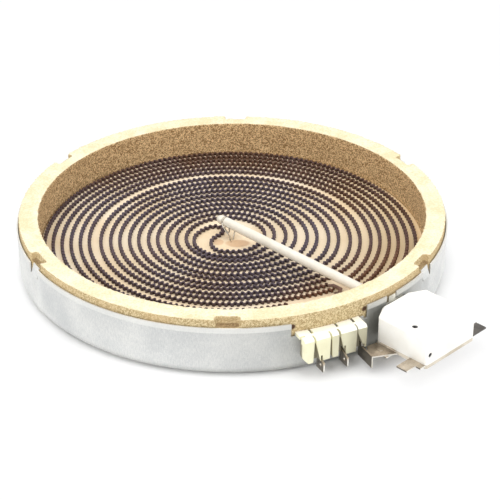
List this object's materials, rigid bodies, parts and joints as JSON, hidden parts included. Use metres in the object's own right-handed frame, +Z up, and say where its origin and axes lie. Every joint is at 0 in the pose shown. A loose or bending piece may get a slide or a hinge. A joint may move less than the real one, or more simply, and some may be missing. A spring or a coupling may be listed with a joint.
{
  "type": "radiant surface element",
  "caption": "Round radiant heating element: corrugated ribbon coils on insulation in a steel pan, with a rod limiter head and a terminal block at the rim",
  "frame": {"origin": "middle of the pan's underside", "axes": "+Z up out of the open face, towards the glass; the limiter head lies at -46 degrees and the terminal block at -65 degrees from +X"},
  "size_m": [0.2396, 0.2401, 0.0315],
  "materials": {
    "pan_steel": "aluminised sheet, matt grey with faint drawing marks",
    "pressed_insulation": "pressed mineral insulation, dry and matt, warm cream",
    "ring_insulation": "vermiculite ring, speckled cream on top and tan on its cut sides",
    "ribbon_alloy": "oxidised heating alloy, dark brown with a soft sheen",
    "nickel_strip": "nickel-plated strip, dull with a warm tarnish",
    "steatite": "unglazed steatite, pale cream",
    "tube_ceramic": "dense ceramic, off white",
    "rod_alloy": "expansion alloy rod, dull grey",
    "clip_wire": "heat-tinted spring wire",
    "bracket_steel": "plain steel sheet",
    "head_ceramic": "white unglazed ceramic",
    "screw_steel": "zinc-plated steel",
    "spring_strip": "spring bronze strip"
  },
  "bodies": {
    "root": {"pan": "pan_steel", "insulation_base": "pressed_insulation", "insulation_ring": "ring_insulation", "heating_ribbon_inner": "ribbon_alloy", "heating_ribbon_outer": "ribbon_alloy", "lead_outer": "nickel_strip", "lead_inner": "nickel_strip", "lead_common": "nickel_strip", "terminal_block": "steatite", "blade_terminal_outer": "nickel_strip", "blade_terminal_inner": "nickel_strip", "link_strap": "nickel_strip", "limiter_tube": "tube_ceramic", "limiter_rod": "rod_alloy", "rod_end_cap": "rod_alloy", "wire_clip": "clip_wire", "head_bracket": "bracket_steel", "head_base": "head_ceramic", "head_cover": "head_ceramic", "head_screws": "screw_steel", "main_tab_line": "nickel_strip", "main_tab_link": "nickel_strip", "signal_tab_outer": "nickel_strip", "signal_tab_inner": "nickel_strip", "main_contact_spring": "spring_strip", "signal_contact_spring": "spring_strip", "push_pin": "tube_ceramic"}
  },
  "joints": []
}
